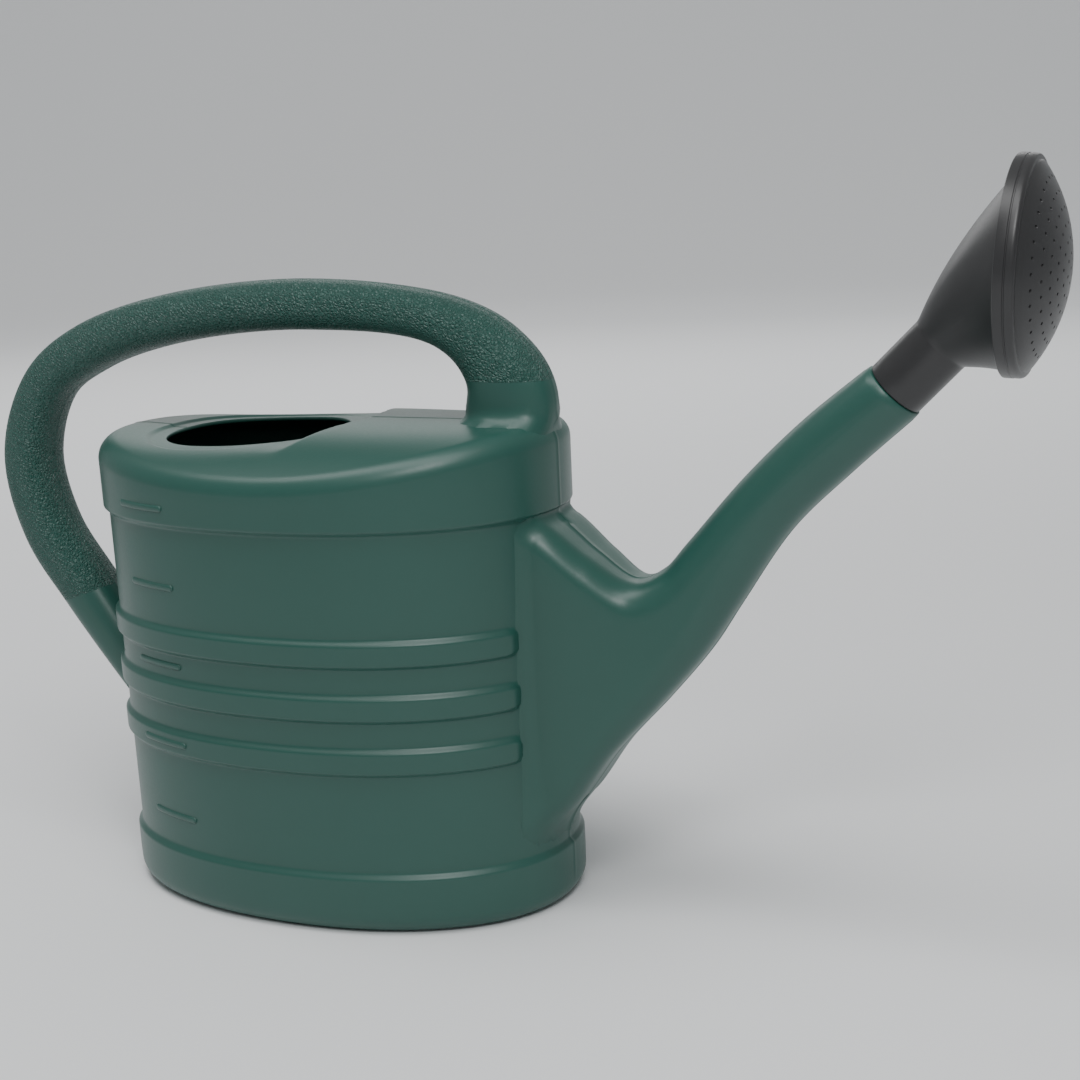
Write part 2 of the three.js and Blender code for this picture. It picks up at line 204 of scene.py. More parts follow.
# Pebbled grain of the grip, which ends at a level line on the front leg and at a slanted one at the back
def makeGrainGroup():
    group, source, sink = newGroup(
        "gripGrain",
        [("Position", "NodeSocketVector", (0, 0, 0)), ("Cell Size", "NodeSocketFloat", 520.0),
         ("Front End", "NodeSocketFloat", 0.294), ("Back End", "NodeSocketFloat", 0.2197)],
        [("Height", "NodeSocketFloat"), ("Mask", "NodeSocketFloat")])
    nodes, links = group.nodes, group.links
    warp = nodes.new("ShaderNodeTexNoise")
    warp.inputs["Scale"].default_value = 300
    links.new(source.outputs["Position"], warp.inputs["Vector"])
    shift = nodes.new("ShaderNodeVectorMath")
    shift.operation = "MULTIPLY_ADD"
    links.new(warp.outputs["Color"], shift.inputs[0])
    shift.inputs[1].default_value = (0.0022, 0.0022, 0.0022)
    links.new(source.outputs["Position"], shift.inputs[2])
    cells = nodes.new("ShaderNodeTexVoronoi")
    cells.feature = "DISTANCE_TO_EDGE"
    links.new(shift.outputs[0], cells.inputs["Vector"])
    links.new(source.outputs["Cell Size"], cells.inputs["Scale"])
    pebble = mathNode(group, "MINIMUM", mathNode(group, "MULTIPLY", cells.outputs["Distance"], 3.2), 1)
    axes = nodes.new("ShaderNodeSeparateXYZ")
    links.new(source.outputs["Position"], axes.inputs[0])
    front = mathNode(group, "GREATER_THAN", axes.outputs["Z"], source.outputs["Front End"])
    slant = mathNode(group, "MULTIPLY_ADD", axes.outputs["X"], -0.339, axes.outputs["Z"])
    back = mathNode(group, "GREATER_THAN", slant, source.outputs["Back End"])
    ahead = mathNode(group, "GREATER_THAN", axes.outputs["X"], -0.05)
    behind = mathNode(group, "SUBTRACT", 1, ahead)
    mask = mathNode(group, "ADD", mathNode(group, "MULTIPLY", front, ahead),
                    mathNode(group, "MULTIPLY", back, behind))
    links.new(mathNode(group, "MULTIPLY", pebble, mask), sink.inputs["Height"])
    links.new(mask, sink.inputs["Mask"])
    return group


mouldedGroup = makeMouldedGroup()
grainGroup = makeGrainGroup()
grainHeight = 3.2  # of the grip's pebbles, in the same measure as the moulded skin's peel


def makePlastic(name, look, grained=False):
    material = bpy.data.materials.new(name)
    material.use_nodes = True
    tree = material.node_tree
    shader = tree.nodes["Principled BSDF"]
    place = tree.nodes.new("ShaderNodeTexCoord").outputs["Object"]
    skin = tree.nodes.new("ShaderNodeGroup")
    skin.node_tree = mouldedGroup
    tree.links.new(place, skin.inputs["Position"])
    skin.inputs["Dark"].default_value = (*look["dark"], 1)
    skin.inputs["Light"].default_value = (*look["light"], 1)
    skin.inputs["Roughness"].default_value = look["roughness"]
    skin.inputs["Peel Size"].default_value = look["peelSize"]
    skin.inputs["Peel Height"].default_value = look["peelHeight"]
    tree.links.new(skin.outputs["Color"], shader.inputs["Base Color"])
    roughness, height = skin.outputs["Roughness"], skin.outputs["Height"]
    if grained:
        grain = tree.nodes.new("ShaderNodeGroup")
        grain.node_tree = grainGroup
        tree.links.new(place, grain.inputs["Position"])
        roughness = mathNode(tree, "MULTIPLY_ADD", grain.outputs["Mask"], 0.06, roughness)
        height = mathNode(tree, "MULTIPLY_ADD", grain.outputs["Height"], grainHeight, height)
    tree.links.new(roughness, shader.inputs["Roughness"])
    bump = tree.nodes.new("ShaderNodeBump")
    bump.inputs["Distance"].default_value = look["bumpDepth"]
    bump.inputs["Strength"].default_value = look["bumpStrength"]
    tree.links.new(height, bump.inputs["Height"])
    tree.links.new(bump.outputs["Normal"], shader.inputs["Normal"])
    shader.inputs["IOR"].default_value = 1.5
    return material


canLook = {"dark": (0.016, 0.073, 0.057), "light": (0.021, 0.088, 0.070), "roughness": 0.37,
           "peelSize": 600, "peelHeight": 0.12, "bumpDepth": 0.35 * mm, "bumpStrength": 0.7}
roseLook = {"dark": (0.021, 0.021, 0.022), "light": (0.027, 0.027, 0.028), "roughness": 0.34,
            "peelSize": 800, "peelHeight": 0.1, "bumpDepth": 0.25 * mm, "bumpStrength": 0.6}
canGreen = makePlastic("canGreen", canLook)
gripGreen = makePlastic("gripGreen", canLook, grained=True)
roseBlack = makePlastic("roseBlack", roseLook)
print("materials made")


# Tank

tank = {
    "bandProud": 2.6 * mm, "upperProud": 3 * mm, "backLean": 2.5 * mm,
    "halfWidthAtFloor": 88.5 * mm, "halfWidthAtDeck": 95 * mm,
    "squareness": 2.15, "footRadius": 11 * mm, "wall": 2.2 * mm,
    "columns": 240, "seamHalf": 0.0055,  # the parting ridge's half width, as an angle
    "seamProud": 0.3 * mm,
    "deckHeight": 265.5 * mm, "plateau": 6 * mm, "crest": 26 * mm, "rampRun": 18 * mm,
    "edgeLevel": 0.95,  # where the plan of the turned-over edge is taken, as a share of the deck's height
    "footRows": 8, "shoulderRows": 14, "deckRows": 66, "floorCorner": 9 * mm,
    "crestSweep": 13.4 * mm, "crestEnd": 59 * mm,
    "sideEdge": 251.5 * mm,  # the deck's height where it turns over at the sides
    "baseRecess": 3 * mm, "shoulderRadius": 12 * mm,
}
tank["halfLength"] = tankHigh.x - tank["upperProud"]
footBand = {"top": 35.7 * mm, "slope": 4 * mm}
upperBand = {"low": 221.5 * mm, "slope": 4 * mm}
ribs = {"count": 3, "lowest": 89.7 * mm, "width": 17.3 * mm, "pitch": 29.9 * mm, "proud": 2.6 * mm,
        "slope": 3.6 * mm, "corner": 6 * mm, "end": 36 * mm}
mouth = {"centre": -47.5 * mm, "halfLength": 49.5 * mm, "halfWidth": 53 * mm, "squareness": 2.3,
         "ledge": 8 * mm, "ledgeSlope": 4 * mm, "ledgeDepth": 1.5 * mm, "dish": 1.1 * mm, "lip": 1 * mm}


def halfWidthAt(height):
    return mix(tank["halfWidthAtFloor"], tank["halfWidthAtDeck"], height / tank["deckHeight"])


def halfLengthAt(height, isBack):
    return tank["halfLength"] + (tank["backLean"] * height / tank["deckHeight"] if isBack else 0)


# How far the wall stands proud of its plain surface
def proudAt(x, y, z):
    foot = tank["bandProud"] * (1 - ramp((z - footBand["top"] + footBand["slope"]) / footBand["slope"]))
    top = tank["upperProud"] * ease((z - upperBand["low"]) / upperBand["slope"])
    proud = foot + top
    toEnd = abs(y) - ribs["end"] if x > 0 else ribs["pitch"]
    for index in range(ribs["count"]):
        half = ribs["width"] / 2
        middle = ribs["lowest"] + index * ribs["pitch"] + half
        upward = abs(z - middle) - half + ribs["corner"]
        endward = ribs["corner"] - toEnd
        outside = math.hypot(max(upward, 0), max(endward, 0)) + min(max(upward, endward), 0) - ribs["corner"]
        proud += ribs["proud"] * ramp(-outside / ribs["slope"])
    return proud


def mouthDistance(x, y):
    along = abs(x - mouth["centre"]) / mouth["halfLength"]
    across = abs(y) / mouth["halfWidth"]
    power = mouth["squareness"]
    around = (along ** power + across ** power) ** (1 / power)
    return (around - 1) * (mouth["halfLength"] + mouth["halfWidth"]) / 2


def mouthPoint(angle, out):
    along = (mouth["halfLength"] + out) * signedPower(math.cos(angle), mouth["squareness"])
    return Vector((mouth["centre"] + along,
                   (mouth["halfWidth"] + out) * signedPower(math.sin(angle), mouth["squareness"]), 0))


# The deck is crowned across, ramps up to a crest ahead of the mouth and has a ledge round the mouth
def deckTop(x, y):
    aside = min(abs(y) / tank["crestEnd"], 1.2)
    crest = tank["crest"] - tank["crestSweep"] * aside ** 1.3
    climb = min(max((x - crest) / tank["rampRun"] + 1, 0), 1) ** 3
    height = tank["deckHeight"] + tank["plateau"] * climb
    across, along = abs(x) / tank["halfLength"], abs(y) / tank["halfWidthAtDeck"]
    reach = (across ** tank["squareness"] + along ** tank["squareness"]) ** (1 / tank["squareness"])
    sideways = along * along / max(across * across + along * along, 1e-6)
    start = mix(0.42, 0.15, climb)
    fall = min(max((reach - start) / (1 - start), 0), 1) ** 2.4
    height -= (height - tank["sideEdge"]) * sideways ** 1.2 * fall
    away = mouthDistance(x, y)
    height -= mouth["ledgeDepth"] * (1 - ease((away - mouth["ledge"]) / mouth["ledgeSlope"]))
    height -= mouth["dish"] * (1 - ease(away / (4 * mouth["ledge"])))
    return height


def tankColumns():
    count = tank["columns"]
    angles = {2 * math.pi * index / count: False for index in range(count)}
    for middle in (0, math.pi):
        angles[middle] = True
        angles[middle + tank["seamHalf"]] = False
        angles[(middle - tank["seamHalf"]) % (2 * math.pi)] = False
    return sorted(angles.items())


def planAt(angle, share, out, height):
    across = signedPower(math.cos(angle), tank["squareness"])
    along = signedPower(math.sin(angle), tank["squareness"])
    return Vector(((halfLengthAt(height, across < 0) * share + out) * across,
                   (halfWidthAt(height) * share + out) * along, height))


# The turned-over edge of the deck: `turn` runs from the wall at 0 to the deck at 1
def shoulderPoint(angle, turn, grow):
    radius = tank["shoulderRadius"]
    out = tank["upperProud"] - radius
    level = tank["edgeLevel"] * tank["deckHeight"]
    outer, inner = (planAt(angle, 1, out + radius * share, level) for share in (0.5, 0.3))
    drop = deckTop(inner.x, inner.y) - deckTop(outer.x, outer.y)
    last = math.pi / 2 - math.atan2(drop, (outer - inner).length)
    edge = planAt(angle, 1, out + radius * math.cos(last), level)
    edgeHeight = deckTop(edge.x, edge.y)
    here = last * turn
    point = planAt(angle, 1, out + (radius + grow) * math.cos(here), level)
    point.z = edgeHeight - radius * math.sin(last) + (radius + grow) * math.sin(here)
    return point


def deckPoint(angle, share, grow):
    edge = shoulderPoint(angle, 1, grow)
    point = edge.lerp(mouthPoint(angle, 0), share)
    point.z = mix(edge.z - deckTop(edge.x, edge.y), grow, min(share * 8, 1)) + deckTop(point.x, point.y)
    return point


def wallHeights():
    edges = [footBand["top"] - footBand["slope"] / 2, upperBand["low"] + upperBand["slope"] / 2]
    for index in range(ribs["count"]):
        low = ribs["lowest"] + index * ribs["pitch"]
        edges += [low + ribs["slope"] / 2, low + ribs["width"] - ribs["slope"] / 2]
    start, end = tank["footRadius"], upperBand["low"] + 3 * upperBand["slope"]
    coarse = [start + index * (end - start) / 40 for index in range(1, 41)]
    fine = [edge + (index - 4) * 0.65 * mm for edge in edges for index in range(9)]
    kept = [height for height in coarse if min(abs(height - edge) for edge in edges) > 3.2 * mm]
    return sorted(kept + fine)


def tankOuterRings(columns):
    recess, foot = tank["baseRecess"], tank["footRadius"]
    base = [(0, recess), (0.5, recess), (0.84, recess),
            (0.9, recess * 0.75), (0.925, recess * 0.2), (0.94, 0)]
    rings = []
    for share, height in base:
        rings.append([planAt(angle, share, 0, 0) + Vector((0, 0, height)) for angle, seam in columns])
    for index in range(tank["footRows"] + 1):
        turn = index / tank["footRows"] * math.pi / 2
        out = tank["bandProud"] - foot + foot * math.sin(turn)
        ring = [planAt(angle, 1, out, 0) for angle, seam in columns]
        for point in ring:
            point.z = foot * (1 - math.cos(turn))
        rings.append(ring)
    for height in wallHeights():
        ring = []
        for angle, seam in columns:
            plain = planAt(angle, 1, 0, height)
            ridge = tank["seamProud"] if seam else 0
            ring.append(planAt(angle, 1, proudAt(plain.x, plain.y, height) + ridge, height))
        rings.append(ring)
    shoulder = []
    for index in range(tank["shoulderRows"] + 1):
        turn = index / tank["shoulderRows"]
        shoulder.append([shoulderPoint(angle, turn, tank["seamProud"] if seam else 0)
                         for angle, seam in columns])
    rings.append([low.lerp(high, 0.5) for low, high in zip(rings[-1], shoulder[0])])
    rings += shoulder
    for index in range(1, tank["deckRows"]):
        share = (1 - (1 - index / tank["deckRows"]) ** 1.6) * 0.985  # rows crowd towards the mouth
        rings.append([deckPoint(angle, share, tank["seamProud"] if seam else 0) for angle, seam in columns])
    return rings


def tankInnerRings(columns):
    rings = []
    wall, lip, corner = tank["wall"], mouth["lip"], tank["floorCorner"]
    for inset, down in ((0.3, 0.06), (0, 0.6), (0, 1.5), (0.15, 2.0), (0.6, 2.2)):  # the mouth's cut edge
        ring = []
        for angle, seam in columns:
            rim = mouthPoint(angle, inset * lip)
            rim.z = deckTop(rim.x, rim.y) - down * mm
            ring.append(rim)
        rings.append(ring)
    for share in (0.9, 0.75, 0.6, 0.45, 0.3, 0.15, 0.05):
        rings.append([deckPoint(angle, share, -wall) for angle, seam in columns])
    for turn in (1, 0.75, 0.5, 0.25, 0):
        rings.append([shoulderPoint(angle, turn, -wall) for angle, seam in columns])
    for height in (215, 170, 120, 70, 30, 15):
        rings.append([planAt(angle, 1, -wall, height * mm) for angle, seam in columns])
    floor = tank["baseRecess"] + wall
    for index in range(1, 6):
        turn = index / 5 * math.pi / 2
        ring = [planAt(angle, 1, -wall - corner * (1 - math.cos(turn)), 0) for angle, seam in columns]
        for point in ring:
            point.z = floor + corner * (1 - math.sin(turn))
        rings.append(ring)
    for share in (0.5, 0):
        rings.append([planAt(angle, share, 0, 0) + Vector((0, 0, floor)) for angle, seam in columns])
    return rings


columns = tankColumns()
outerRings = tankOuterRings(columns)
guide = bmesh.new()
skinRings(guide, outerRings)
bmesh.ops.remove_doubles(guide, verts=guide.verts, dist=weld)
bmesh.ops.recalc_face_normals(guide, faces=guide.faces)
tankTree = BVHTree.FromBMesh(guide)
insideOut = tankTree.find_nearest(Vector((1, 0, 0.15)))[1].x < 0
guide.free()

body = bmesh.new()
skinRings(body, outerRings + tankInnerRings(columns))
tankPiece = finishMesh("canTank", body, canGreen)
print("tank made", len(tankPiece.data.polygons))

wallSink = 0.3 * mm  # a fillet's foot ends this far under the tank's skin


# The tank's nearest spot to a point, the way into the wall there, and how far off the
# outer wall the point stands, which is less than nothing inside it
def offWall(point):
    spot, normal, index, distance = tankTree.find_nearest(point)
    inward = normal if insideOut else -normal
    depth = (point - spot).dot(inward)
    return spot, inward, -depth if depth > 0.7 * distance else distance


# A point that lies deep in the tank comes up to just under its skin, so nothing stands in the cavity
def seated(point):
    spot, inward, distance = offWall(point)
    return spot + inward * mm if distance < -mm else point


# A point of a piece moved out onto its concave fillet to the tank: it slides along the wall at the height
# that it has above it, and the fillet's foot ends a little under the skin
def flared(point, outward, radius):
    spot, inward, distance = offWall(point)
    height = distance - wallSink
    if height > radius:
        return point
    left = radius - max(height, 0)
    along = outward - inward * outward.dot(inward)
    moved = point + along.normalized() * (radius - math.sqrt(radius * radius - left * left))
    spot, inward, distance = offWall(moved)
    return spot - inward * max(height, -mm)


# Filling marks: low rounded bars on the near side

marks = {"count": 5, "lowest": 53.5 * mm, "pitch": 45 * mm, "start": -92 * mm, "length": 37 * mm,
         "height": 3.8 * mm, "proud": 1.1 * mm, "turns": 8, "steps": 12}


def markPoint(x, z, proud):
    hit = tankTree.ray_cast(Vector((x, -0.3, z)), Vector((0, 1, 0)))[0]
    return Vector((x, hit.y - proud, z))


# A mark's outline, as pairs of a place on its middle line and an angle round it
def markOutline():
    reach = (marks["length"] - marks["height"]) / 2
    outline = []
    for end in (1, -1):
        for turn in range(marks["turns"] + 1):
            outline.append((end * reach, math.pi * (turn / marks["turns"] - end / 2)))
        outline += [(end * reach * (1 - 2 * step / marks["steps"]), math.pi / 2 * end)
                    for step in range(1, marks["steps"])]
    return outline


bars = bmesh.new()
for index in range(marks["count"]):
    level = marks["lowest"] + index * marks["pitch"]
    middle = marks["start"] + marks["length"] / 2
    rings = []
    for inset, proud in ((0, -0.6), (0, 0.05), (0.15, 0.5), (0.35, 0.8), (0.65, 0.96), (1, 1)):
        radius = marks["height"] / 2 * (1 - inset)
        rings.append([markPoint(middle + reach + radius * math.cos(angle), level + radius * math.sin(angle),
                                proud * marks["proud"]) for reach, angle in markOutline()])
    skinRings(bars, rings)
marksPiece = finishMesh("fillingMarks", bars, canGreen)
print("filling marks made")


# Handle

grip = {"halfWidth": 17 * mm, "squareness": 2.5, "columns": 64, "rowsPerSpan": 14, "seamHalf": 0.03,
        "seamProud": 0.25 * mm, "trim": 0.9 * mm, "legFillet": 9 * mm, "gapFillet": 4 * mm,
        "rootFillet": 4.5 * mm, "rise": 69 * mm, "legInset": 22.5 * mm,
        "firstSpan": 0.35, "lastSpan": 11.45,  # where the skin starts and ends, in spans of the spine
        "legShare": 0.3}


# Points of the spine: X, half the thickness, Z
def handleSpine():
    front = tank["halfLength"] - grip["legInset"]
    back = -tank["halfLength"]
    deck = tank["deckHeight"]
    top = deck + grip["rise"]
    points = [
        (front - 10 * mm, 24.4 * mm, deck - 28 * mm),
        (front, 26.4 * mm, deck + 18 * mm),
        (front - 10.5 * mm, 20.4 * mm, deck + 41.5 * mm),
        (front - 38 * mm, 15 * mm, top - 9.5 * mm),
        (mouth["centre"] + 39 * mm, 15 * mm, top),
        (mouth["centre"] - 54 * mm, 15.3 * mm, top - 8 * mm),
        (back - 24 * mm, 16 * mm, top - 25 * mm),
        (back - 57 * mm, 15.5 * mm, top - 47 * mm),
        (back - 75 * mm, 17 * mm, deck - 21 * mm),
        (back - 66 * mm, 17.6 * mm, deck - 66 * mm),
        (back - 41.5 * mm, 17.4 * mm, deck - 103 * mm),
        (back - 14 * mm, 16.5 * mm, deck - 140 * mm),
        (back + 14 * mm, 16.5 * mm, deck - 174 * mm),
    ]
    return [Vector(point) for point in points]


def handleRing(spine, share):
    step = 0.002
    centre = railPoint(spine, share)
    ahead = railPoint(spine, min(share + step, 1)) - railPoint(spine, max(share - step, 0))
    ahead.y = 0
    ahead.normalize()
    inward = Vector((-ahead.z, 0, ahead.x))  # towards the hand gap
    onLeg = share < grip["legShare"]
    ring = []
    angles = [2 * math.pi * side / grip["columns"] for side in range(grip["columns"])]
    for middle in (0, math.pi):
        angles += [middle + grip["seamHalf"], (middle - grip["seamHalf"]) % (2 * math.pi)]
    for angle in sorted(angles):
        isSeam = min(abs(angle), abs(angle - math.pi)) < 1e-6
        ridge = grip["seamProud"] if isSeam else 0
        up = signedPower(math.cos(angle), grip["squareness"])
        aside = signedPower(math.sin(angle), grip["squareness"])
        point = Vector((centre.x, 0, centre.z)) + inward * ((centre.y - grip["trim"] + ridge) * up)
        point.y = -grip["halfWidth"] * aside
        radius = grip["rootFillet"]
        outward = inward * up + Vector((0, -aside, 0))
        if onLeg:  # tight in the hand gap, and only sideways where the leg is flush with the tank's front
            radius = mix(grip["legFillet"], grip["gapFillet"], ease(math.cos(angle)))
            outward = inward * max(up, 0) + Vector((0, -aside, 0))
        ring.append(flared(point, outward, radius))
    return ring


spine = handleSpine()
spans = len(spine) - 1
rows = spans * grip["rowsPerSpan"]
first, last = grip["firstSpan"] / spans, grip["lastSpan"] / spans
rings = [handleRing(spine, mix(first, last, index / rows)) for index in range(rows + 1)]
handleBody = bmesh.new()
skinRings(handleBody, rings)
bmesh.ops.holes_fill(handleBody, edges=handleBody.edges)
handlePiece = finishMesh("canHandle", handleBody, gripGreen)
print("handle made", len(handlePiece.data.polygons))


# Spout

spout = {"rootHalfWidth": 32.5 * mm, "rootTop": 218.5 * mm, "rootBottom": 55 * mm, "tipRadius": 16.8 * mm,
         "shoulder": 15 * mm, "keel": 15 * mm, "rows": 90, "fillet": 6.5 * mm, "keelFillet": 12 * mm,
         "keelReach": 40 * mm,  # the fillet is wider up to here above the root's bottom
         "wall": 2.2 * mm, "seamProud": 0.3 * mm, "spigotRadius": 13.6 * mm, "spigotLength": 24 * mm,
         "rootShare": 0.3,  # the stretch of the rails near the tank
         "start": 0.055, "innerStart": 0.05, "innerEnd": 0.985, "edge": 0.6 * mm}


def spoutRails():
    front, root, tipHalf = tank["halfLength"], spout["rootHalfWidth"], spout["tipRadius"]
    across = Vector((-roseAxis.z, 0, roseAxis.x)) * tipHalf
    low, high = spout["rootBottom"], rosePivot.z

    def rise(share):
        return mix(low, high, share)

    upper = [
        (front - 18 * mm, root, spout["rootTop"] + 9 * mm),
        (front + 3 * mm, root, spout["rootTop"]),
        (front + 25 * mm, root - 3 * mm, rise(0.6199)),
        (front + 47 * mm, root - 7.5 * mm, rise(0.5624)),
        (front + 63 * mm, root - 10.5 * mm, rise(0.5900)),
        (front + 77 * mm, root - 12.5 * mm, rise(0.6559)),
        (front + 107 * mm, tipHalf + 1.9 * mm, rise(0.8002)),
        (front + 139 * mm, tipHalf + 0.7 * mm, rise(0.9310)),
        (rosePivot.x + across.x, tipHalf, rosePivot.z + across.z),
    ]
    lower = [
        (front - 18 * mm, 0, low - 15 * mm),
        (front + 6.4 * mm, 0, low),
        (front + 34.6 * mm, 0, low + 37 * mm),
        (front + 61.5 * mm, 0, rise(0.2794)),
        (front + 87.5 * mm, 0, rise(0.4091)),
        (front + 105 * mm, 0, rise(0.5196)),
        (front + 133.5 * mm, 0, rise(0.6954)),
        (front + 165 * mm, 0, rise(0.8256)),
        (rosePivot.x - across.x, 0, rosePivot.z - across.z),
    ]
    return [Vector(p) for p in upper], [Vector(p) for p in lower]


# Half of a rounded section, from its top centre round to its bottom centre, as pairs of aside and up
def sectionHalf(width, height, topRadius, bottomRadius):
    topRadius = min(topRadius, width - mm, height)
    bottomRadius = min(bottomRadius, width - mm, height)
    flat = width - topRadius
    points = [(0, height), (0.5 * mm, height)]
    points += [(mix(0.5 * mm, flat, index / 4), height) for index in range(1, 4)]
    for index in range(11):
        turn = index / 10 * math.pi / 2
        points.append((flat + topRadius * math.sin(turn), height - topRadius * (1 - math.cos(turn))))
    top, bottom = height - topRadius, -height + bottomRadius
    points += [(width, mix(top, bottom, index / 10)) for index in range(1, 10)]
    flat = width - bottomRadius
    for index in range(9):
        turn = index / 8 * math.pi / 2
        points.append((flat + bottomRadius * math.cos(turn), bottom - bottomRadius * math.sin(turn)))
    points += [(mix(flat, 0.5 * mm, index / 4), -height) for index in range(1, 4)]
    return points + [(0.5 * mm, -height), (0, -height)]


def spoutRing(upper, lower, share, inset, onRoot):
    above, below = railPoint(upper, share), railPoint(lower, share)
    width = above.y - inset
    above.y = 0
    centre = (above + below) / 2
    up = (above - below).normalized()
    half = (above - below).length / 2 - inset
    roundness = ease(share * 1.15)
    full = spout["tipRadius"] + 2 * mm
    topRadius = mix(spout["shoulder"], full, roundness) - inset
    side = sectionHalf(width, half, topRadius, mix(spout["keel"], full, roundness) - inset)
    loop = side + [(-aside, height) for aside, height in side[-2:0:-1]]
    ring = []
    for aside, height in loop:
        ridge = spout["seamProud"] if aside == 0 and not inset else 0
        point = centre + up * (height + math.copysign(ridge, height)) + Vector((0, aside, 0))
        if onRoot and inset:
            point = seated(point)
        elif onRoot:
            outward = (up * height / half + Vector((0, aside / width, 0))).normalized()
            toBottom = (point.z - spout["rootBottom"]) / spout["keelReach"]
            point = flared(point, outward, mix(spout["keelFillet"], spout["fillet"], ease(toBottom)))
        ring.append(point)
    return ring


def spoutRings(inset, first, last):
    upper, lower = spoutRails()
    rings = []
    for index in range(spout["rows"] + 1):
        share = mix(first, last, (index / spout["rows"]) ** 1.25)
        rings.append(spoutRing(upper, lower, share, inset, onRoot=share < spout["rootShare"]))
    return rings


def tipRing(distance, radius, like):
    across = Vector((-roseAxis.z, 0, roseAxis.x))
    centre = rosePivot + roseAxis * distance
    ring = []
    for point in like:
        around = point - rosePivot
        direction = Vector((0, around.y, 0)) + across * around.dot(across)
        ring.append(centre + direction.normalized() * radius)
    return ring


outer = spoutRings(0, spout["start"], 1)
inner = spoutRings(spout["wall"], spout["innerStart"], spout["innerEnd"])[::-1]
tipRadius, spigot, reach = spout["tipRadius"], spout["spigotRadius"], spout["spigotLength"]
tipProfile = [
    (-0.3 * mm, tipRadius - 0.1 * mm), (0, tipRadius - spout["edge"]), (0, spigot),
    (reach - spout["edge"], spigot), (reach, spigot - spout["edge"]),
    (reach, spigot - spout["wall"]), (-2 * mm, spigot - spout["wall"]),
]
tipRows = [tipRing(distance, radius, outer[-1]) for distance, radius in tipProfile]
spoutBody = bmesh.new()
skinRings(spoutBody, outer[:-1] + tipRows + inner + outer[:1])
spoutPiece = finishMesh("canSpout", spoutBody, canGreen)
print("spout made", len(spoutPiece.data.polygons))

# The tank opens into the spout
cutter = bmesh.new()
boreRings = spoutRings(spout["wall"] + 0.05 * mm, 0, spout["rootShare"])
endRing = skinRings(cutter, boreRings[::3])
bmesh.ops.contextual_create(cutter, geom=endRing)
bmesh.ops.holes_fill(cutter, edges=cutter.edges)
cutWith(tankPiece, finishMesh("spoutOpening", cutter, canGreen))
print("tank opened", len(tankPiece.data.polygons))


# Rose

rose = {"neckRadius": 16 * mm, "neckLength": 32.7 * mm, "socketRadius": 14 * mm, "throat": 11.5 * mm,
        "wall": 2 * mm, "reach": 62.3 * mm, "rise": 59.6 * mm, "lipRadius": 50.7 * mm, "lipLength": 2.5 * mm,
        "nod": math.radians(3), "columns": 96, "gap": 0.3 * mm, "socketDepth": 26 * mm, "sag": 0.9 * mm}
roseAhead = Vector((math.cos(rose["nod"]), 0, -math.sin(rose["nod"])))
rimCentre = rosePivot + Vector((rose["reach"], 0, rose["rise"]))


def roseRing(centre, direction, radius):
    up = Vector((-direction.z, 0, direction.x))
    ring = []
    for side in range(rose["columns"]):
        angle = 2 * math.pi * side / rose["columns"]
        ring.append(centre + up * radius * math.cos(angle) + Vector((0, -radius * math.sin(angle), 0)))
    return ring


def coneRing(share, startRadius, endRadius, sag):
    start = rosePivot + roseAxis * rose["neckLength"]
    centre = start.lerp(rimCentre, share)
    direction = roseAxis.lerp(roseAhead, share ** 0.8).normalized()
    radius = mix(startRadius, endRadius, share) - sag * math.sin(math.pi * share)
    return roseRing(centre, direction, radius)


def neckRing(distance, radius):
    return roseRing(rosePivot + roseAxis * distance, roseAxis, radius)


def lipRing(distance, radius):
    return roseRing(rimCentre + roseAhead * distance, roseAhead, radius)


def makeFunnel():
    gap, neck, wall = rose["gap"], rose["neckRadius"], rose["wall"]
    socket, length, lip = rose["socketRadius"], rose["neckLength"], rose["lipRadius"]
    neckProfile = [
        (gap, socket + 0.5 * mm), (gap, neck - 0.9 * mm), (gap + 0.3 * mm, neck - 0.25 * mm),
        (gap + 1.1 * mm, neck), (8 * mm, neck), (16 * mm, neck), (24 * mm, neck),
        (length - 1.2 * mm, neck), (length - 0.3 * mm, neck + 0.05 * mm),
    ]
    rings = [neckRing(distance, radius) for distance, radius in neckProfile]
    shares = [0.02, 0.06] + [index / 16 for index in range(2, 16)] + [0.985]
    rings += [coneRing(share, neck, lip, rose["sag"]) for share in shares]
    rings += [lipRing(0, lip), lipRing(rose["lipLength"], lip), lipRing(rose["lipLength"], lip - wall)]
    rings += [coneRing(share, rose["throat"], lip - wall, rose["sag"])
              for share in (1, 0.8, 0.6, 0.4, 0.2, 0.05)]
    rings += [neckRing(rose["socketDepth"] + 0.5 * mm, rose["throat"]), neckRing(rose["socketDepth"], socket),
              neckRing(gap + 0.5 * mm, socket), neckRing(gap, socket + 0.5 * mm)]
    funnel = bmesh.new()
    skinRings(funnel, rings)
    return finishMesh("roseFunnel", funnel, roseBlack, sharpAngle=40)


funnelPiece = makeFunnel()
print("funnel made")

cap = {"skirt": 5.5 * mm, "skirtWall": 2.1 * mm, "edge": 2.6 * mm, "dome": 16.85 * mm, "wall": 1.8 * mm,
       "holeRadius": 0.85 * mm, "rings": 6, "pitch": 7.03 * mm, "holeSides": 10, "sharpAngle": 30}


